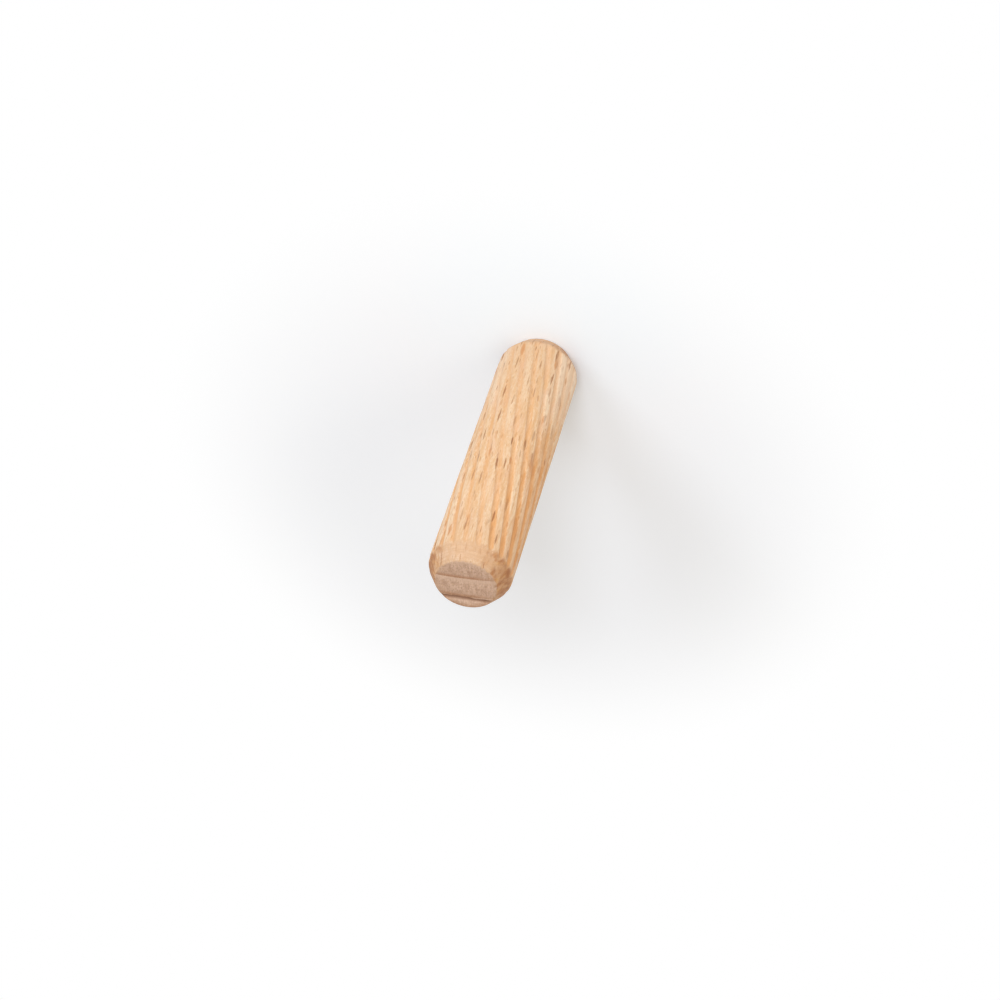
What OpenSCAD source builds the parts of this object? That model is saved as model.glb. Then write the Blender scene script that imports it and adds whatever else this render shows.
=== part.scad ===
// Fluted wooden dowel pin for glued joints: chamfered at both ends, with helical flutes between its lands.
// It stands on one end face, with the origin at that face's centre and +Z along the pin.

/* [Pin] */
// Diameter over the lands between the flutes
pin_d = 10; // [8:0.5:16]
// Length from end face to end face
pin_l = 40; // [25:1:80]

/* [Ends] */
// Length of the chamfer at each end, along the pin
chamfer_l = 2.2; // [1:0.1:3]
// Depth of the chamfer at each end face, in from the lands
chamfer_h = 1.3; // [0.6:0.1:1.8]
// Radius that blends the chamfer into the lands
shoulder_r = 1.5; // [0.5:0.1:3]
// Radius worn round the edge of each end face
rim_r = 0.4; // [0.1:0.05:0.6]

/* [Flutes] */
// Number of flutes round the pin
flute_count = 20; // [8:1:24]
// Radius of the rounded bottom of a flute
flute_r = 0.45; // [0.3:0.05:0.8]
// Depth of a flute below the lands
flute_h = 0.18; // [0.1:0.02:0.4]
// Length of pin in which a flute would turn once round it, clockwise as it rises
flute_lead = 190; // [120:5:400]

/* [Tear] */
// Distance from the axis to the line of the tear across the upper end face
tear_x = 2; // [1:0.1:3]
// Depth of the tear below the end face
tear_h = 0.32; // [0.1:0.02:0.5]
// Width of the tear's floor, from that line
tear_floor = 0.45; // [0.1:0.05:0.8]
// Angle at which the torn wood rises again towards the rim, in degrees
tear_rise = 35; // [20:1:70]
// Direction of the torn side round the axis, in degrees from +X
tear_turn = 105; // [0:5:355]

/* [Hidden] */
round_fn = 96;
land_r = pin_d / 2;
face_r = land_r - chamfer_h;
// Rise of the chamfer from the plane of the end face, and its direction in the outline
chamfer_rise = atan2(chamfer_l, chamfer_h);
chamfer_dir = [cos(chamfer_rise), sin(chamfer_rise)];
// Lengths that the two blends take off the straight lines at their corners
rim_cut = rim_r * tan(chamfer_rise / 2);
shoulder_cut = shoulder_r * tan((90 - chamfer_rise) / 2);
// The flutes turn by flute_turn over the pin, in steps of about flute_step degrees
flute_turn = 360 * pin_l / flute_lead;
flute_step = 6;
flute_fn = 18;
// Room between the lands and the bar that the flutes are cut from
bar_room = 0.2;
// Room that the tear's cut takes above the end face
tear_room = 0.2;

// Half of the blank's outline at one end, up to the middle of the pin: x is the radius, y the height
module end_outline() {
    rim = [face_r, 0];
    shoulder = [land_r, chamfer_l];
    polygon([
        [0, 0],
        rim - [rim_cut, 0],
        rim + rim_cut * chamfer_dir,
        shoulder - shoulder_cut * chamfer_dir,
        shoulder + [0, shoulder_cut],
        [land_r, pin_l / 2],
        [0, pin_l / 2]
    ]);
    translate([face_r - rim_cut, rim_r])
        circle(r = rim_r, $fn = round_fn);
    translate([land_r - shoulder_r, chamfer_l + shoulder_cut])
        circle(r = shoulder_r, $fn = round_fn);
}

// The smooth pin before it is fluted
module blank() {
    rotate_extrude($fn = round_fn) {
        end_outline();
        translate([0, pin_l])
            mirror([0, 1])
                end_outline();
    }
}

// Section across the pin, a little larger than the lands, with the flutes taken out
module fluted_section() {
    difference() {
        circle(r = land_r + bar_room, $fn = 2 * flute_count);
        for (i = [0 : flute_count - 1])
            rotate(i * 360 / flute_count)
                translate([land_r - flute_h + flute_r, 0])
                    circle(r = flute_r, $fn = flute_fn);
    }
}

// Twisted bar that carries the flutes; one flute crosses -Y at the middle of the pin
module fluted_bar() {
    rotate([0, 0, flute_turn / 2 - 90])
        linear_extrude(height = pin_l, twist = flute_turn, slices = ceil(flute_turn / flute_step), convexity = 10)
            fluted_section();
}

// Sliver that split off along a growth ring of the upper end face: one steep wall, a floor and a slope
module tear() {
    slope_x = tear_floor + (tear_h + tear_room) / tan(tear_rise);
    rotate([0, 0, tear_turn])
        translate([tear_x, 0, pin_l])
            rotate([90, 0, 0])
                linear_extrude(height = pin_d, center = true)
                    polygon([
                        [0, -tear_h],
                        [tear_floor, -tear_h],
                        [slope_x, tear_room],
                        [0, tear_room]
                    ]);
}

module dowel_pin() {
    color("burlywood")
        difference() {
            intersection() {
                blank();
                fluted_bar();
            }
            tear();
        }
}

dowel_pin();
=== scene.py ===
from math import atan2, ceil, cos, pi, radians, sin, sqrt, tan

import bmesh
import bpy
from mathutils import Matrix, Vector, noise


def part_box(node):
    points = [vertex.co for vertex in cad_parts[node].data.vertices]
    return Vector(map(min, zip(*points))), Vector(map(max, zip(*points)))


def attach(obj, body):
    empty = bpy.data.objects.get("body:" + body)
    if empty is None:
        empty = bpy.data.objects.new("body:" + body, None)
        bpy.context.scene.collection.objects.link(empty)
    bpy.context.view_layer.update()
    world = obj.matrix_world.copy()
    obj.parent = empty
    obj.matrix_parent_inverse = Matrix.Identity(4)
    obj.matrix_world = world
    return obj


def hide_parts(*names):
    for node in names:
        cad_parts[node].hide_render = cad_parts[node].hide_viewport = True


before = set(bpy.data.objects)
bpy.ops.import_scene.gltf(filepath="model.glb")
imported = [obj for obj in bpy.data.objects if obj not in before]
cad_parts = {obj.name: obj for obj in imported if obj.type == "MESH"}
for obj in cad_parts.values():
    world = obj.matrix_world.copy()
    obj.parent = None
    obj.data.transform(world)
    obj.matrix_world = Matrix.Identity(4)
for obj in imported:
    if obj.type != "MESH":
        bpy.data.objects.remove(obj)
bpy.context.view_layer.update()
foot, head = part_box("dowel_pin")
mm = 0.001  # sizes are written in millimetres
white = (1, 1, 1, 1)


# The pin is seen over its upper end, turned so that this end points down the picture.
cameraSet = {
    "lens": 100.54,  # mm
    "sensor": 36,  # mm
    "distance": 333.3,  # mm from the point it looks at
    "height": 44.73,  # degrees above the table
    "roll": 161.3,  # degrees round its own line of sight
    "lookAt": (-0.6, 2.65, 22.7),
    "clip": (0.01, 10),  # metres
}


def placeCamera(s):
    data = bpy.data.cameras.new("camera")
    data.sensor_width = s["sensor"]
    data.lens = s["lens"]
    data.clip_start, data.clip_end = s["clip"]
    camera = bpy.data.objects.new("camera", data)
    bpy.context.collection.objects.link(camera)
    rise = radians(s["height"])
    back = Vector((0, -cos(rise), sin(rise)))
    camera.location = (Vector(s["lookAt"]) + back * s["distance"]) * mm
    level = (-back).to_track_quat("-Z", "Y").to_matrix()
    camera.rotation_euler = (level @ Matrix.Rotation(-radians(s["roll"]), 3, "Z")).to_euler()
    bpy.context.scene.camera = camera


placeCamera(cameraSet)
print("camera placed")


pinShape = {
    "radius": (head.x - foot.x) / 2 / mm,
    "length": (head.z - foot.z) / mm,
    "chamferLength": 2.2,
    "chamferDepth": 1.3,
    "shoulderRadius": 1.5,
    "rimRadius": 0.4,
    "fluteCount": 20,
    "fluteDepth": 0.17,
    "fluteShare": 0.95,  # of that depth, where nothing wears or leans
    "fluteRadius": 0.45,
    "fluteRound": 0.9,  # share of that radius where the walls go on straight
    "fluteLead": 190,  # mm of pin for one whole turn
    "fluteSway": 0.05,  # drift sideways, in parts of their spacing
    "swayLength": 5,  # of pin for one wave or so
    "fluteWear": 0.3,  # how unevenly deep they are, as a share
    "wearLength": 7,
    "fluteSide": -125,  # degrees, where they are pressed deepest at the head
    "fluteLean": 0.45,  # by this share of their depth
    "landSoftness": 0.06,  # rounding of the lands' edges
    "fibreLift": 0.012,  # unevenness along the fibres
    "fibreCells": 14,  # of their noise, in one radius
    "fibreLength": 3.5,
    # points of the mesh
    "columns": 400,
    "flankStep": 0.27,  # mm between the rings
    "footRings": 6,
    "headRings": 26,  # close together, for the tear
    "rimSteps": 4,
    "chamferSteps": 16,
    "shoulderSteps": 5,
}


def shares(count):
    return [k / count for k in range(1, count + 1)]


def endCurve(s, faceRings):
    # radius and depth below the end, going out from the axis to the flank
    slope = atan2(s["chamferLength"], s["chamferDepth"])
    flat = s["radius"] - s["chamferDepth"] - s["rimRadius"] * tan(slope / 2)
    cut = s["shoulderRadius"] * tan((pi / 2 - slope) / 2)
    points = [(flat * share, 0) for share in shares(faceRings)]
    for share in shares(s["rimSteps"]):
        turn = slope * share
        points.append((flat + s["rimRadius"] * sin(turn), s["rimRadius"] * (1 - cos(turn))))
    r0, d0 = points[-1]
    r1 = s["radius"] - cut * cos(slope)
    d1 = s["chamferLength"] - cut * sin(slope)
    points += [(r0 + (r1 - r0) * share, d0 + (d1 - d0) * share) for share in shares(s["chamferSteps"])]
    for share in shares(s["shoulderSteps"]):
        turn = slope + (pi / 2 - slope) * share
        points.append((s["radius"] - s["shoulderRadius"] * (1 - sin(turn)),
                       s["chamferLength"] + cut - s["shoulderRadius"] * cos(turn)))
    return points


def blankRings(s):
    lower = endCurve(s, s["footRings"])
    upper = [(r, s["length"] - d) for r, d in endCurve(s, s["headRings"])]
    low, high = lower[-1][1], upper[-1][1]
    steps = ceil((high - low) / s["flankStep"])
    flank = [(s["radius"], low + (high - low) * share) for share in shares(steps)[:-1]]
    return lower + flank + upper[::-1]


def softMin(a, b, softness):
    gap = a - b
    return a - (gap + sqrt(gap * gap + softness * softness)) / 2


def fluteSurface(s, number, offset, height, turn):
    # radius of one flute's surface, at an offset in mm from its middle
    wear = s["fluteWear"] * noise.noise((number * 3.7, height / s["wearLength"], 0.5))
    lean = s["fluteLean"] * max(0, cos(turn - radians(s["fluteSide"]))) * height / s["length"]
    depth = s["fluteDepth"] * (s["fluteShare"] + wear + lean)
    sway = s["fluteSway"] * noise.noise((number * 2.3, height / s["swayLength"], 9.5))
    x = abs(offset + sway * 2 * pi * s["radius"] / s["fluteCount"])
    # a round bottom, then straight walls at its last slope
    bend, edge = s["fluteRadius"], s["fluteRound"] * s["fluteRadius"]
    inside = min(x, edge)
    rise = bend - sqrt(bend ** 2 - inside ** 2) + (x - inside) * edge / sqrt(bend ** 2 - edge ** 2)
    return s["radius"] - depth + rise


def fluteTwist(s, height):
    # one flute crosses -Y at the middle of the pin
    return -pi / 2 - 2 * pi * (height - s["length"] / 2) / s["fluteLead"]


def cutPin(s):
    verts, faces, hollows = [], [], []
    columns = s["columns"]
    pitch = 2 * pi / s["fluteCount"]
    rings = blankRings(s)
    for radius, height in rings:
        twist = fluteTwist(s, height)
        for column in range(columns):
            along = 2 * pi * column / columns
            number = round(along / pitch) % s["fluteCount"]
            offset = (along / pitch - round(along / pitch)) * pitch * s["radius"]
            turn = along + twist
            floor = fluteSurface(s, number, offset, height, turn)
            cut = softMin(radius, floor, s["landSoftness"])
            across = Vector((cos(turn), sin(turn), 0))
            if radius > s["radius"] - s["chamferDepth"]:
                x, y = across.xy * s["fibreCells"]
                cut -= s["fibreLift"] * (1 + noise.noise((x, y, height / s["fibreLength"]))) / 2
            verts.append((across * cut + Vector((0, 0, height))) * mm)
            hollows.append(min(1, max(0, (radius - cut) / s["fluteDepth"])))
    verts += [Vector((0, 0, 0)), Vector((0, 0, s["length"] * mm))]
    hollows += [0, 0]
    under, over = len(verts) - 2, len(verts) - 1
    last = (len(rings) - 1) * columns
    for column in range(columns):
        after = (column + 1) % columns
        faces.append((under, after, column))
        faces.append((over, last + column, last + after))
        for low in range(0, last, columns):
            high = low + columns
            faces.append((low + column, low + after, high + after, high + column))
    mesh = bpy.data.meshes.new("dowel")
    mesh.from_pydata(verts, [], faces)
    for name in ("hollow", "torn", "crackShade"):
        mesh.attributes.new(name, "FLOAT", "POINT")
    mesh.attributes["hollow"].data.foreach_set("value", hollows)
    return mesh


tearShape = {
    "turn": 105,  # degrees, the side of the upper end that it is on
    "line": 2.0,  # where the wood broke away, mm from the axis
    # its section: mm past the line, mm below the end
    "section": ((0, 0), (0.04, 0.3), (0.46, 0.32), (0.6, 0.2), (0.85, 0.1), (1.15, 0.06), (1.7, 0.02)),
    "reach": 0.9,  # how far below the end it touches anything
    "sway": 0.06,  # unevenness of the line
    "swayWidth": 0.6,  # how far from the line the sway is felt
    "swayWaves": ((0.9, 2), (4, 0.5)),  # waves per mm, and how much of each
    "roughness": 0.05,
    "roughWaves": ((1.5, 2, 1), (7, 3, 0.5)),  # per mm across and along, and how much of each
    "roughFrom": 0.125,  # mm past the line where it is fully rough
    "crackPlace": 0.34,  # its dark bottom, where painted shade goes, mm past the line
    "crackWidth": 0.16,  # half of its darkest part
    "crackFade": 0.2,  # mm on each side of that
    "closesFrom": 2.3,  # where it starts to close, mm along the line
    "closesIn": 0.7,
    "closedDepth": 0.25,  # share of its depth that is left there
}


def alongSection(section, place):
    for (x0, y0), (x1, y1) in zip(section, section[1:]):
        if place < x1:
            return y0 + (y1 - y0) * (place - x0) / (x1 - x0)
    return section[-1][1]


def tearDepth(s, u, t, past, closing):
    # rough everywhere but at the very line
    (across, along, much), (fineAcross, fineAlong, fineMuch) = s["roughWaves"]
    rough = (noise.noise((u * across, t * along, 3)) * much
             + noise.noise((u * fineAcross, t * fineAlong, 7)) * fineMuch)
    depth = alongSection(s["section"], past) + s["roughness"] * rough * min(1, past / s["roughFrom"])
    return depth * (s["closedDepth"] + (1 - s["closedDepth"]) * closing)


def lineSway(s, t):
    (slow, much), (quick, little) = s["swayWaves"]
    return noise.noise((t * slow, 0.3, 1.7)) * much + noise.noise((t * quick, 0.3, 4.7)) * little


def tearEnd(mesh, s, length):
    # a sliver of the upper end split off along a growth ring: a steep wall, a crack and a slope
    turn = radians(s["turn"])
    out, side = Vector((cos(turn), sin(turn), 0)), Vector((-sin(turn), cos(turn), 0))
    top = length * mm
    justPast = 0.001  # points on the line itself stay up
    bm = bmesh.new()
    bm.from_mesh(mesh)
    for past, _ in s["section"][:-1]:
        upper = [f for f in bm.faces if f.calc_center_median().z > top - s["reach"] * mm]
        rims = [part for f in upper for part in (*f.edges, *f.verts)]
        bmesh.ops.bisect_plane(bm, geom=upper + list(dict.fromkeys(rims)),
                               plane_co=out * (s["line"] + past) * mm, plane_no=out)
    torn, crackShade = bm.verts.layers.float["torn"], bm.verts.layers.float["crackShade"]
    for v in bm.verts:
        if v.co.z < top - s["reach"] * mm:
            continue
        u, t = v.co.dot(out) / mm, v.co.dot(side) / mm
        past = u - s["line"]
        if past > justPast:
            closing = min(1, max(0, (s["closesFrom"] + s["closesIn"] - t) / s["closesIn"]))
            depth = tearDepth(s, u, t, past, closing)
            if v.co.z > top - depth * mm:
                v.co.z = top - depth * mm
                v[torn] = 1
                # painted shade in the crack, strongest at its bottom
                fromCrack = (abs(past - s["crackPlace"]) - s["crackWidth"]) / s["crackFade"]
                v[crackShade] = min(1, max(0, 1 - fromCrack)) * closing
        if abs(past) < s["swayWidth"] and v.co.z > top - s["swayWidth"] * mm:
            near = 1 - abs(past) / s["swayWidth"]
            v.co += out * s["sway"] * lineSway(s, t) * near * mm
    bm.normal_update()
    bm.to_mesh(mesh)
    bm.free()


def makeDowel(shape, tear):
    mesh = cutPin(shape)
    tearEnd(mesh, tear, shape["length"])
    mesh.shade_smooth()
    dowel = bpy.data.objects.new("dowel", mesh)
    bpy.context.collection.objects.link(dowel)
    return dowel


dowel = makeDowel(pinShape, tearShape)
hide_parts("dowel_pin")
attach(dowel, "root")
print("dowel cut,", len(dowel.data.polygons), "faces")


def fromScreen(red, green, blue):
    # a colour as seen on screen, 0 to 255, for a shader
    parts = [c / 255 for c in (red, green, blue)]
    return tuple(c / 12.92 if c < 0.04045 else ((c + 0.055) / 1.055) ** 2.4 for c in parts) + (1,)


def put(tree, kind, sockets=None, **settings):
    # one node, with its settings and what goes into its sockets
    node = tree.nodes.new("ShaderNode" + kind)
    for name, value in settings.items():
        setattr(node, name, value)
    for name, value in (sockets or {}).items():
        if isinstance(value, bpy.types.NodeSocket):
            tree.links.new(value, node.inputs[name])
        else:
            node.inputs[name].default_value = value
    return node


def maths(tree, operation, *values):
    return put(tree, "Math", dict(enumerate(values)), operation=operation).outputs[0]


def times(tree, product, *factors):
    for factor in factors:
        product = maths(tree, "MULTIPLY", product, factor)
    return product


def vectors(tree, operation, *values):
    return put(tree, "VectorMath", dict(enumerate(values)), operation=operation)


def ramp(tree, value, low, high, outLow=0.0, outHigh=1.0, kind="SMOOTHSTEP"):
    made = put(tree, "MapRange", {"Value": value, "From Min": low, "From Max": high,
                                  "To Min": outLow, "To Max": outHigh}, interpolation_type=kind)
    return made.outputs["Result"]


def straightRamp(tree, value, low, high, outLow, outHigh):
    return ramp(tree, value, low, high, outLow, outHigh, "LINEAR")


def stretch(tree, place, scales, start=(0, 0, 0)):
    return put(tree, "Mapping", {"Vector": place, "Scale": scales, "Location": start}).outputs[0]


def patterns(tree, place, wanted):
    # one noise for each name
    made = {}
    for name, (scales, detail, roughness, start) in wanted.items():
        made[name] = put(tree, "TexNoise", {"Vector": stretch(tree, place, scales, start), "Scale": 1.0,
                                            "Detail": detail, "Roughness": roughness}).outputs["Fac"]
    return made


def tint(tree, base, colour, amount, blend="MIX"):
    # a colour mix has its factor in socket 0 and its two colours in 6 and 7
    mixed = put(tree, "Mix", {0: amount, 6: base, 7: colour}, data_type="RGBA", blend_type=blend)
    return mixed.outputs[2]


def paint(tree, base, s, layers):
    # layers of colour over each other, the first one lowest
    for colour, amount in layers:
        base = tint(tree, base, s[colour], amount)
    return base


def layersOf(tree, rows, made):
    # rows of colour, pattern, where in it the colour begins and is full, and the most of it
    return [(colour, times(tree, ramp(tree, made[name], begins, full), most))
            for colour, name, begins, full, most in rows]


def calmed(tree, pattern, middle, contrast):
    # the same pattern with more or less contrast round its middle
    return maths(tree, "MULTIPLY_ADD", maths(tree, "SUBTRACT", pattern, middle), contrast, middle)


def mask(tree, s, name, value):
    return ramp(tree, value, *s["masks"][name])


beechLook = {
    "creamWood": fromScreen(246, 222, 190),
    "paleWood": fromScreen(240, 209, 172),
    "warmWood": fromScreen(226, 176, 123),
    "rosy": fromScreen(232, 190, 160),
    "fleck": fromScreen(164, 104, 58),
    "smallFleck": fromScreen(186, 122, 72),
    "rust": fromScreen(206, 136, 78),
    "burnishAndShade": fromScreen(228, 162, 96),
    "paleWoodAndLight": fromScreen(252, 230, 205),
    # a dull tan: painted shade towards the head, dirt and painted contact shadow at the end's edge, a
    # light tint elsewhere
    "duskyTan": fromScreen(205, 168, 134),
    "paintedWarmShade": (0.92, 0.79, 0.64, 1),  # a share of the wood's own colour, multiplied in as painted warm shade
    "cutToneAndShade": fromScreen(208, 164, 126),
    "burn": fromScreen(193, 133, 83),
    "burnDark": fromScreen(158, 102, 66),
    "burnPale": fromScreen(226, 176, 116),
    "endPale": fromScreen(228, 193, 167),
    "endGrain": fromScreen(212, 175, 149),
    "endShade": fromScreen(178, 138, 112),
    "crackShade": fromScreen(148, 104, 76),
    # how the tree grew
    "ringTurn": 106.2,  # degrees, the side where the bark was
    "ringSpacing": 2.94,
    "ringPlace": -0.94,  # where one ring ends, mm from the axis towards the bark
    "ringWaver": 0.3,
    "pithDistance": 32,
    "grainSlope": 0.05,  # how far the fibres lean, sideways for each mm along
    "wander": 1.2,  # mm that they drift
    "wanderCells": (0.12, 0.12, 0.07),
    # patterns that follow the fibres: cells per mm, with the rings, across them and along the pin,
    # then detail, roughness and where in the noise they start
    "grain": {
        "streaks": ((2.1, 2.1, 0.16), 3.0, 0.6, (4, 4, 4)),
        "fibres": ((6.0, 6.0, 0.5), 4.0, 0.65, (0, 0, 0)),
        "wool": ((6.5, 6.5, 1.8), 2.0, 0.5, (9, 6, 1)),
        "pores": ((22.0, 22.0, 1.2), 2.0, 0.6, (5, 5, 5)),
        "clouds": ((0.55, 0.55, 0.1), 2.0, 0.5, (11, 3, 7)),
        "blush": ((0.9, 0.9, 0.25), 1.0, 0.5, (1, 13, 9)),
        "speckle": ((6.0, 3.5, 0.5), 3.0, 0.6, (2, 8, 4)),
        "blotches": ((1.7, 1.1, 0.5), 3.0, 0.6, (5, 3, 8)),
        "fineRays": ((4.5, 0.5, 0.2), 2.0, 0.6, (9, 2, 6)),
    },
    # patterns of the tools and of wear, the same way
    "work": {
        "ragged": ((3.0, 3.0, 3.0), 3.0, 0.6, (1, 7, 3)),
        "waver": ((0.5, 0.5, 0.05), 3.0, 0.6, (6, 2, 9)),
        "patches": ((1.6, 1.6, 0.6), 2.0, 0.5, (8, 1, 2)),
        "cutterMarks": ((0.5, 0.5, 7.0), 3.0, 0.6, (2, 5, 1)),
        "mottle": ((2.0, 2.0, 0.7), 3.0, 0.6, (3, 3, 7)),
    },
    # rays: cells per mm round and along, half width and half length in mm, share of cells, start
    "rays": {
        "flecks": ((0.80, 0.24), 0.12, 1.15, 0.75, (0, 0, 0)),
        "smallFlecks": ((1.4, 0.5), 0.10, 0.65, 0.55, (7, 3, 2)),
        "rustFlecks": ((0.42, 0.16), 0.26, 1.2, 0.4, (3, 9, 5)),
    },
    "raysOutward": 0.05,  # cells per mm from the pith to the bark, the way that rays run
    "rayScatter": 0.9,  # how far from an even row
    "raySizes": (0.55, 1.35),  # smallest and largest, as shares of those above
    "rayStrengths": (0.35, 1.0),
    "rayEdge": (0.0, 0.6),  # how softly they begin
    "rayBorder": (0.0, 0.08),  # kept clear between cells
    # fibres and pores make their edges ragged: from and to in the pattern, then in the edge
    "fibreEdge": (0.3, 0.7, 0.75, 1.25),
    "poreEdge": (0.25, 0.75, -0.35, 0.35),
    "warmSide": (-0.97, -0.25, 0),  # the side whose upper part gets painted warm shade, with the bark at +Y
    "middle": 20,  # mm above the foot
    # where each mask begins and is full, then its least and its most if they aren't 0 and 1
    "masks": {
        # shares of a growth ring, from the pith outwards
        "earlyWood": (0.35, 0.05),
        "lateWood": (0.35, 1.0),
        "lineComes": (0.8, 0.96),
        "lineGoes": (0.985, 1.0),
        # how squarely the surface faces along the pin, and across the rays
        "flat": (0.80, 0.97),
        "slanted": (0.05, 0.5),
        "cutAcross": (0.2, 0.75, 0.3, 1.0),
        # shares of a flute's depth
        "flutes": (0.3, 1.0),
        "lands": (0.3, 0.08),
        "warmFlutes": (0.15, 0.9, 0.6, 1.0),
        # mm above the foot
        "footward": (18, 3),
        "headward": (12, 30),
        "contrast": (4, 26, 0.65, 1.05),
        "warmerUp": (10, 26),
        "farWarmerUp": (8, 22),
        "shadedHead": (29, 36),
        # mm from the middle, towards either end
        "nearEnds": (17.3, 18.5, 0.0, 0.85),
        # mm from the axis, towards the bark or the pith
        "offRings": (4.9, 4.3),
        # mm from the axis, along the rings
        "lineFades": (-3.2, -0.4, 0.3, 1.0),
        "burntLeft": (2.2, 4.8),
        "burntRight": (-0.4, -5.6),
        # mm from the axis, all round
        "edge": (2.9, 3.65),
        # mm towards the side that gets painted warm shade
        "palerNear": (3.2, 5.0),
        "palerFar": (0.2, -3.4, 0.0, 0.6),
        "warmer": (1.2, 5.0),
        "farWarmer": (4.4, 4.9),
        # levels of a pattern
        "ragged": (0.3, 0.7, -0.12, 0.12),
        "raggedDirtAndShade": (-0.12, 0.12, 0.4, 1.0),
        "openPores": (0.56, 0.74),
        "patches": (0.34, 0.66, -0.25, 0.25),
        "burnt": (0.05, 1.0),
        "cutToneAndShade": (0.35, 0.65, 0.42, 0.72),
    },
    # colours laid over each other, the lowest first: colour, pattern, where in it the colour
    # begins and is full, the most of it, and for fibres the middle that their contrast keeps
    "ground": [("paleWood", "clouds", 0.35, 0.6, 1.0)],
    "fibreLayers": [
        ("warmWood", "streaks", 0.42, 0.6, 0.95, 0.5),
        ("warmWood", "fibres", 0.4, 0.7, 0.72, 0.4),
        ("creamWood", "fibres", 0.45, 0.28, 0.5, 0.3),
    ],
    "woolLayers": [
        ("warmWood", "wool", 0.48, 0.7, 0.58),
        ("creamWood", "wool", 0.46, 0.28, 0.5),
        ("rosy", "blush", 0.5, 0.7, 0.3),
    ],
    "burnLayers": [
        ("burnDark", "mottle", 0.46, 0.7, 0.6),
        ("burnPale", "mottle", 0.52, 0.32, 0.75),
        ("burnDark", "sideways", 3.7, 4.3, 0.42),
        ("burnDark", "sideways", -3.2, -4.3, 0.3),
    ],
    "endLayers": [
        ("endGrain", "fineRays", 0.35, 0.65, 1.0),
        ("endShade", "speckle", 0.42, 0.7, 0.7),
        ("endShade", "blotches", 0.45, 0.7, 0.6),
        ("endPale", "blotches", 0.45, 0.25, 0.6),
    ],
    # how much of each goes over those
    "amounts": {
        "duskyTan": 0.1,
        "shadedHead": 0.2,
        "paleWoodAndLight": 0.55,
        "farWarmer": 0.4,
        "lateWood": 0.25,
        "flutes": (0.2, 0.52),  # near the foot and near the head
        "lands": 0.2,
        "rustFlecks": 0.85,
        "pores": 0.3,
        "smallFlecks": 0.6,
        "flecks": 0.9,
    },
    "endAmounts": {
        "earlyWood": 0.55,
        "lateWood": 0.35,
        "ringLine": 0.55,
        "torn": 0.25,
        "edge": 0.35,
        "tornEdge": 0.6,
        "crackShade": 0.85,
    },
    "ringContrast": (0.65, 1.05),  # of the fibres, where the surface follows the rings and elsewhere
    # relief in mm
    "relief": {"fibres": 0.03, "pores": 0.012, "flecks": -0.012, "speckle": 0.05, "cutterMarks": 0.04},
    "roughness": (0.5, 0.66),  # least and most
    "roughFibres": (0.2, 0.8),  # the levels of the fibres that give these two
    "endRoughness": 0.2,  # added on the end grain
    "gloss": 0.4,
}


def towardsBark(tree, s, vector):
    # turned so that the bark is at +Y
    turned = put(tree, "VectorRotate", {"Vector": vector, "Angle": radians(90 - s["ringTurn"])},
                 rotation_type="Z_AXIS")
    return turned.outputs[0]


def axesOf(tree, vector):
    return put(tree, "SeparateXYZ", {0: vector}).outputs


def woodPlaces(tree, s):
    # places in mm, and the same places as the fibres carry them, leaning and wandering a little
    place = towardsBark(tree, s, put(tree, "TexCoord").outputs["Object"])
    plain = vectors(tree, "MULTIPLY", place, (1 / mm, 1 / mm, 1 / mm)).outputs[0]
    wander = put(tree, "TexNoise", {"Vector": stretch(tree, plain, s["wanderCells"]), "Scale": 1.0,
                                    "Detail": 1.0}).outputs["Color"]
    drift = vectors(tree, "MULTIPLY_ADD", wander, (s["wander"], s["wander"], 0), plain).outputs[0]
    lean = put(tree, "CombineXYZ", {"X": times(tree, axesOf(tree, plain)["Z"], s["grainSlope"])})
    grown = vectors(tree, "ADD", drift, lean.outputs[0]).outputs[0]
    return plain, grown


def growthRings(tree, s, at, waver):
    # darker towards the bark side of each, and a line where the next one starts
    aside = times(tree, maths(tree, "SUBTRACT", waver, 0.5), s["ringWaver"])
    fromPith = maths(tree, "ADD", maths(tree, "ADD", at["Y"], aside), s["pithDistance"])
    around = put(tree, "CombineXYZ", {"X": at["X"], "Y": fromPith}).outputs[0]
    radius = vectors(tree, "LENGTH", around).outputs["Value"]
    past = maths(tree, "SUBTRACT", radius, s["pithDistance"] + s["ringPlace"])
    ring = maths(tree, "FRACT", maths(tree, "DIVIDE", past, s["ringSpacing"]))
    line = maths(tree, "SUBTRACT", mask(tree, s, "lineComes", ring), mask(tree, s, "lineGoes", ring))
    return {
        "earlyWood": mask(tree, s, "earlyWood", ring),
        "lateWood": mask(tree, s, "lateWood", ring),
        "line": times(tree, line, mask(tree, s, "lineFades", at["X"])),
    }


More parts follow.
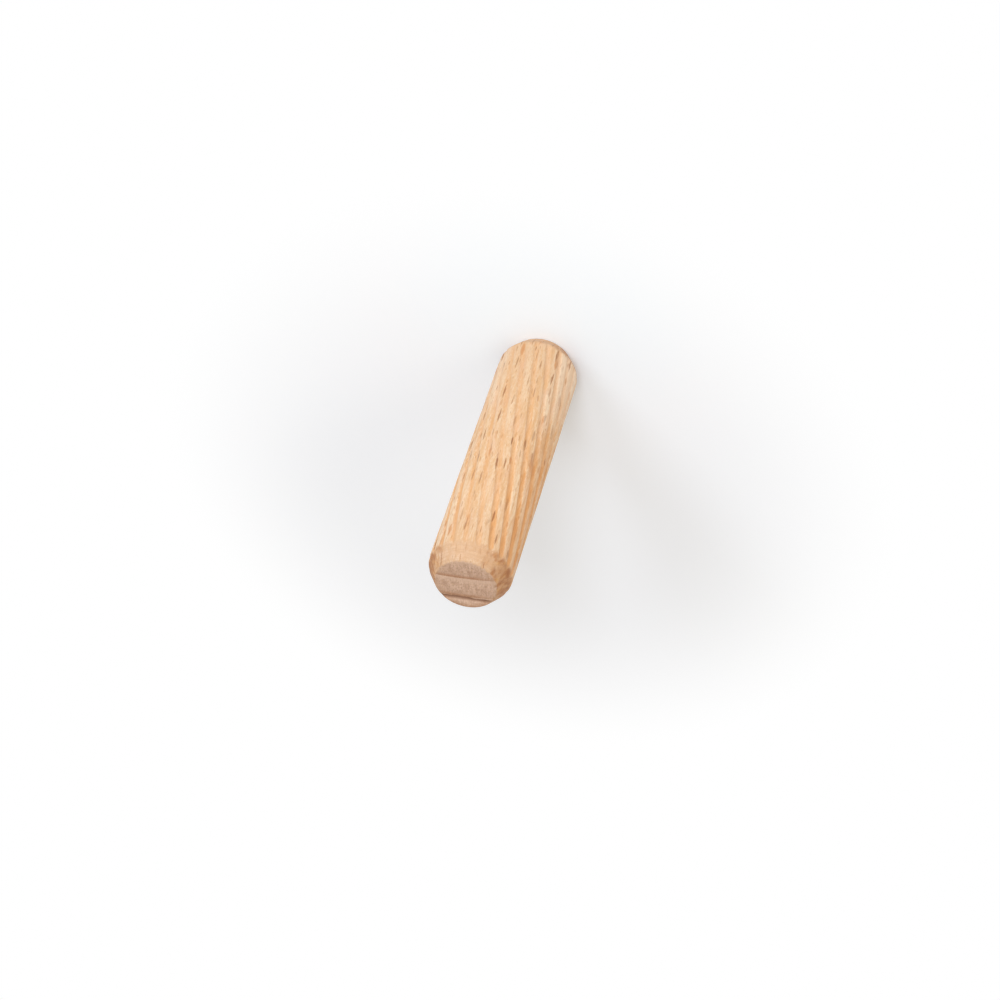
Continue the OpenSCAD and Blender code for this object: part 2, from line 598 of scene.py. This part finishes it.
def rayMarks(tree, s, grown, grain, marks):
    # pointed spindles where the rays are cut across, flakes where they are cut along
    (cellsRound, cellsAlong), halfWidth, halfLength, share, start = marks
    cells = stretch(tree, grown, (cellsRound, s["raysOutward"], cellsAlong), start)
    cellSet = {"Vector": cells, "Scale": 1.0, "Randomness": s["rayScatter"]}
    rays = put(tree, "TexVoronoi", cellSet, feature="F1").outputs
    toBorder = put(tree, "TexVoronoi", cellSet, feature="DISTANCE_TO_EDGE").outputs["Distance"]
    chance = axesOf(tree, rays["Color"])  # three of its own for each ray
    size = straightRamp(tree, chance["Y"], 0.0, 1.0, *s["raySizes"])
    away = axesOf(tree, vectors(tree, "SUBTRACT", cells, rays["Position"]).outputs[0])
    aside = maths(tree, "ABSOLUTE", away["X"])
    across = maths(tree, "DIVIDE", aside, times(tree, size, halfWidth * cellsRound))
    along = maths(tree, "DIVIDE", away["Z"], times(tree, size, halfLength * cellsAlong))
    edge = maths(tree, "ADD", straightRamp(tree, grain["fibres"], *s["fibreEdge"]),
                 straightRamp(tree, grain["pores"], *s["poreEdge"]))
    inside = maths(tree, "SUBTRACT", maths(tree, "SUBTRACT", edge, across), times(tree, along, along))
    chosen = maths(tree, "LESS_THAN", chance["X"], share)
    strength = straightRamp(tree, chance["Z"], 0.0, 1.0, *s["rayStrengths"])
    clear = ramp(tree, toBorder, *s["rayBorder"])
    return times(tree, ramp(tree, inside, *s["rayEdge"]), chosen, clear, strength)


def pinMasks(tree, s, plain, ragged):
    # the kinds of surface, and the sides and heights where the wood differs and where light and shade
    # are painted on
    at = axesOf(tree, plain)
    stored = ("hollow", "torn", "crackShade")
    m = {name: put(tree, "Attribute", attribute_name=name).outputs["Fac"] for name in stored}
    normal = put(tree, "NewGeometry").outputs["Normal"]
    upward = maths(tree, "ABSOLUTE", axesOf(tree, normal)["Z"])
    m["ragged"] = mask(tree, s, "ragged", ragged)
    flat = mask(tree, s, "flat", maths(tree, "ADD", upward, m["ragged"]))
    m["end"] = maths(tree, "MAXIMUM", flat, m["torn"])
    fromMiddle = maths(tree, "ABSOLUTE", maths(tree, "SUBTRACT", at["Z"], s["middle"]))
    m["chamfer"] = maths(tree, "MAXIMUM", mask(tree, s, "slanted", upward),
                         mask(tree, s, "nearEnds", fromMiddle))
    facing = maths(tree, "ABSOLUTE", axesOf(tree, towardsBark(tree, s, normal))["Y"])
    m["cutAcross"] = mask(tree, s, "cutAcross", facing)
    # the grain is calmer near the foot and where the surface follows the rings
    m["offRings"] = mask(tree, s, "offRings", maths(tree, "ABSOLUTE", at["Y"]))
    m["contrast"] = times(tree, straightRamp(tree, m["offRings"], 0.0, 1.0, *s["ringContrast"]),
                          mask(tree, s, "contrast", at["Z"]))
    m["headward"] = times(tree, m["offRings"], mask(tree, s, "headward", at["Z"]))
    # painted light towards the foot on both sides, partly paler wood, and painted warm shade up one of
    # them
    towards = vectors(tree, "DOT_PRODUCT", plain, s["warmSide"]).outputs["Value"]
    bothSides = maths(tree, "MAXIMUM", mask(tree, s, "palerNear", towards),
                      mask(tree, s, "palerFar", towards))
    m["footward"] = mask(tree, s, "footward", at["Z"])
    m["paler"] = times(tree, bothSides, m["footward"])
    m["warmer"] = times(tree, mask(tree, s, "warmer", towards), mask(tree, s, "warmerUp", at["Z"]),
                        mask(tree, s, "warmFlutes", m["hollow"]))
    m["farWarmer"] = times(tree, mask(tree, s, "farWarmer", towards),
                           mask(tree, s, "farWarmerUp", at["Z"]))
    m["shadedHead"] = mask(tree, s, "shadedHead", at["Z"])
    return m


def flankWood(tree, s, m, grain, rings):
    much = s["amounts"]
    wood = paint(tree, s["creamWood"], s, layersOf(tree, s["ground"], grain))
    for colour, name, begins, full, most, middle in s["fibreLayers"]:
        fibres = calmed(tree, ramp(tree, grain[name], begins, full), middle, m["contrast"])
        wood = tint(tree, wood, s[colour], times(tree, fibres, most))
    wood = paint(tree, wood, s, layersOf(tree, s["woolLayers"], grain))
    wood = paint(tree, wood, s, [
        ("duskyTan", times(tree, m["footward"], much["duskyTan"])),
        ("duskyTan", straightRamp(tree, m["offRings"], 0.0, 1.0, much["duskyTan"], 0.0)),
        # painted light near the foot, partly paler wood
        ("paleWoodAndLight", times(tree, m["paler"], much["paleWoodAndLight"])),
    ])
    # painted warm shade: darker and more orange up one side, as if shaded and lit by warm light thrown
    # back
    wood = tint(tree, wood, s["paintedWarmShade"], m["warmer"], "MULTIPLY")
    wood = tint(tree, wood, s["paintedWarmShade"], times(tree, m["farWarmer"], much["farWarmer"]), "MULTIPLY")
    # burnished and with painted shade in the flutes, clean and with a painted highlight on the lands
    flutes, lands = mask(tree, s, "flutes", m["hollow"]), mask(tree, s, "lands", m["hollow"])
    return paint(tree, wood, s, [
        # painted shade, darker towards the head
        ("duskyTan", times(tree, m["shadedHead"], much["shadedHead"])),
        ("warmWood", times(tree, rings["lateWood"], much["lateWood"])),
        ("burnishAndShade", times(tree, flutes, straightRamp(tree, m["headward"], 0.0, 1.0, *much["flutes"]))),
        ("creamWood", times(tree, lands, m["headward"], much["lands"])),
    ])


def chamferWood(tree, s, m, work, wood, sideways):
    # the cutter burnt the chamfers, most where it ran across the rays
    sides = maths(tree, "MAXIMUM", mask(tree, s, "burntLeft", sideways),
                  mask(tree, s, "burntRight", sideways))
    patches = mask(tree, s, "patches", work["patches"])
    burn = mask(tree, s, "burnt", maths(tree, "ADD", patches, sides))
    burnt = paint(tree, s["burn"], s, layersOf(tree, s["burnLayers"], {**work, "sideways": sideways}))
    marks = mask(tree, s, "cutToneAndShade", work["cutterMarks"])
    # a darker tone over the whole chamfers, with the cutter's marks in it: partly the cut wood, partly
    # painted shade
    wood = tint(tree, wood, s["cutToneAndShade"], times(tree, m["chamfer"], marks))
    return tint(tree, wood, burnt, times(tree, m["chamfer"], burn))


def rayWood(tree, s, m, grain, rays, wood):
    much = s["amounts"]
    return paint(tree, wood, s, [
        ("rust", times(tree, rays["rustFlecks"], m["cutAcross"], much["rustFlecks"])),
        ("fleck", times(tree, mask(tree, s, "openPores", grain["pores"]), much["pores"])),
        ("smallFleck", times(tree, rays["smallFlecks"], m["cutAcross"], much["smallFlecks"])),
        ("fleck", times(tree, rays["flecks"], m["cutAcross"], much["flecks"])),
    ])


def endWood(tree, s, m, grain, rings, plain):
    much = s["endAmounts"]
    # dirt and painted contact shadow in the worn edge
    flat = vectors(tree, "MULTIPLY", plain, (1, 1, 0)).outputs[0]
    fromAxis = vectors(tree, "LENGTH", flat).outputs["Value"]
    dirtAndShade = times(tree, mask(tree, s, "edge", fromAxis), mask(tree, s, "raggedDirtAndShade", m["ragged"]))
    wood = paint(tree, s["endPale"], s, layersOf(tree, s["endLayers"], grain))
    return paint(tree, wood, s, [
        ("endPale", times(tree, rings["earlyWood"], much["earlyWood"])),
        ("endShade", times(tree, rings["lateWood"], much["lateWood"])),
        ("fleck", times(tree, rings["line"], much["ringLine"])),
        # the torn slope paler: partly its earlywood, partly painted light thrown up onto it
        ("endPale", times(tree, m["torn"], much["torn"])),
        ("duskyTan", times(tree, dirtAndShade, much["edge"])),
        # darkest where the torn slope meets the rim: painted contact shadow, partly dirt
        ("fleck", times(tree, m["torn"], dirtAndShade, much["tornEdge"])),
        # painted shade in the crack, over its darker torn latewood
        ("crackShade", times(tree, m["crackShade"], much["crackShade"])),
    ])


def reliefOf(tree, s, heights):
    total = 0.0
    for name, height in heights.items():
        total = maths(tree, "MULTIPLY_ADD", height, s["relief"][name], total)
    return put(tree, "Bump", {"Height": total, "Distance": mm, "Strength": 1.0}).outputs[0]


def beech(s):
    material = bpy.data.materials.new("beech")
    material.use_nodes = True
    tree = material.node_tree
    shader = tree.nodes["Principled BSDF"]
    plain, grown = woodPlaces(tree, s)
    at = axesOf(tree, plain)
    grain = patterns(tree, grown, s["grain"])
    work = patterns(tree, plain, s["work"])
    rays = {name: rayMarks(tree, s, grown, grain, marks) for name, marks in s["rays"].items()}
    rings = growthRings(tree, s, at, work["waver"])
    m = pinMasks(tree, s, plain, work["ragged"])

    wood = flankWood(tree, s, m, grain, rings)
    wood = chamferWood(tree, s, m, work, wood, at["X"])
    wood = rayWood(tree, s, m, grain, rays, wood)
    cutEnd = endWood(tree, s, m, grain, rings, plain)
    tree.links.new(tint(tree, wood, cutEnd, m["end"]), shader.inputs["Base Color"])

    dull = straightRamp(tree, grain["fibres"], *s["roughFibres"], *s["roughness"])
    dull = maths(tree, "ADD", dull, times(tree, m["end"], s["endRoughness"]))
    tree.links.new(dull, shader.inputs["Roughness"])
    shader.inputs["Specular IOR Level"].default_value = s["gloss"]
    relief = reliefOf(tree, s, {
        "fibres": grain["fibres"],
        "pores": grain["pores"],
        "flecks": rays["flecks"],
        "speckle": times(tree, grain["speckle"], m["end"]),
        "cutterMarks": times(tree, work["cutterMarks"], m["chamfer"]),
    })
    tree.links.new(relief, shader.inputs["Normal"])
    return material


dowel.data.materials.append(beech(beechLook))
print("beech laid on")


floorLook = {
    "size": 3.0,  # metres
    "paper": (0.93, 0.945, 0.975, 1),
    "nearPaper": (0.885, 0.945, 0.995, 1),  # in front of the foot, against the wood's glow
    "nearPlace": (2, -11, 0),
    "nearSize": (6, 24),  # mm from that place
    "lift": 0.112,  # how much whiter the camera sees it than it is lit
    "fadePlace": (-3, 22, 0),
    "fadeSize": (20, 50),  # mm from that place, where it turns fully white
}


def seenByEye(tree):
    # 1 for what the camera sees, straight or in a reflection, and 0 for what lights the wood
    path = put(tree, "LightPath").outputs
    seen = maths(tree, "MAXIMUM", path["Is Camera Ray"], path["Is Glossy Ray"])
    return maths(tree, "MAXIMUM", seen, path["Is Transmission Ray"])


def distanceTo(tree, place, centre):
    return vectors(tree, "DISTANCE", place, Vector(centre) * mm).outputs["Value"]


def floorPaper(s):
    material = bpy.data.materials.new("floorPaper")
    material.use_nodes = True
    tree = material.node_tree
    tree.nodes.clear()
    place = put(tree, "TexCoord").outputs["Object"]
    nearest, farthest = s["nearSize"]
    near = ramp(tree, distanceTo(tree, place, s["nearPlace"]), farthest * mm, nearest * mm)
    starts, ends = s["fadeSize"]
    fade = ramp(tree, distanceTo(tree, place, s["fadePlace"]), starts * mm, ends * mm)
    seen = seenByEye(tree)
    lit = put(tree, "BsdfDiffuse", {"Color": tint(tree, s["paper"], s["nearPaper"], near)}).outputs[0]
    glow = put(tree, "Emission", {"Color": white, "Strength": times(tree, seen, s["lift"])}).outputs[0]
    paper = put(tree, "AddShader", {0: lit, 1: glow}).outputs[0]
    plainWhite = put(tree, "Emission", {"Color": white, "Strength": 1.0}).outputs[0]
    mixed = put(tree, "MixShader", {0: times(tree, fade, seen), 1: paper, 2: plainWhite}).outputs[0]
    put(tree, "OutputMaterial", {"Surface": mixed})
    return material


def standFloor(s):
    half = s["size"] / 2
    corners = [(-half, -half, 0), (half, -half, 0), (half, half, 0), (-half, half, 0)]
    mesh = bpy.data.meshes.new("floor")
    mesh.from_pydata(corners, [], [(0, 1, 2, 3)])
    floor = bpy.data.objects.new("floor", mesh)
    bpy.context.collection.objects.link(floor)
    floor.data.materials.append(floorPaper(s))


standFloor(floorLook)

lightSet = {
    "sky": 0.54,  # evenly from everywhere
    "skyColour": (1.0, 0.95, 0.87, 1),
    "aim": (0, 0, 20),
    "lamps": {
        # name: side and height in degrees, distance and size in mm, watts, colour
        "key": (-78, 45, 600, 180, 0.95, (0.93, 1.0, 1.12)),
        "side": (-42, 20, 600, 300, 1.15, (0.93, 1.0, 1.12)),
        "fill": (-128, 18, 600, 300, 0.45, (1.0, 0.92, 0.8)),
    },
}


def hangLamps(s):
    for name, (side, height, distance, size, watts, colour) in s["lamps"].items():
        data = bpy.data.lights.new(name, "AREA")
        data.shape = "DISK"
        data.size = size * mm
        data.energy = watts
        data.color = colour
        lamp = bpy.data.objects.new(name, data)
        bpy.context.collection.objects.link(lamp)
        turn, rise = radians(side), radians(height)
        back = Vector((cos(turn) * cos(rise), sin(turn) * cos(rise), sin(rise)))
        lamp.location = (Vector(s["aim"]) + back * distance) * mm
        lamp.rotation_euler = (-back).to_track_quat("-Z", "Y").to_euler()
        lamp.visible_camera = False


def lightStudio(s):
    world = bpy.data.worlds.new("studio")
    bpy.context.scene.world = world
    world.use_nodes = True
    tree = world.node_tree
    tree.nodes.clear()
    sky = put(tree, "Background", {"Color": s["skyColour"], "Strength": s["sky"]}).outputs[0]
    plainWhite = put(tree, "Background", {"Color": white, "Strength": 1.0}).outputs[0]
    mixed = put(tree, "MixShader", {0: seenByEye(tree), 1: sky, 2: plainWhite}).outputs[0]
    put(tree, "OutputWorld", {"Surface": mixed})


hangLamps(lightSet)
lightStudio(lightSet)
bpy.context.scene.view_settings.view_transform = "Standard"
print("floor and lights stand")
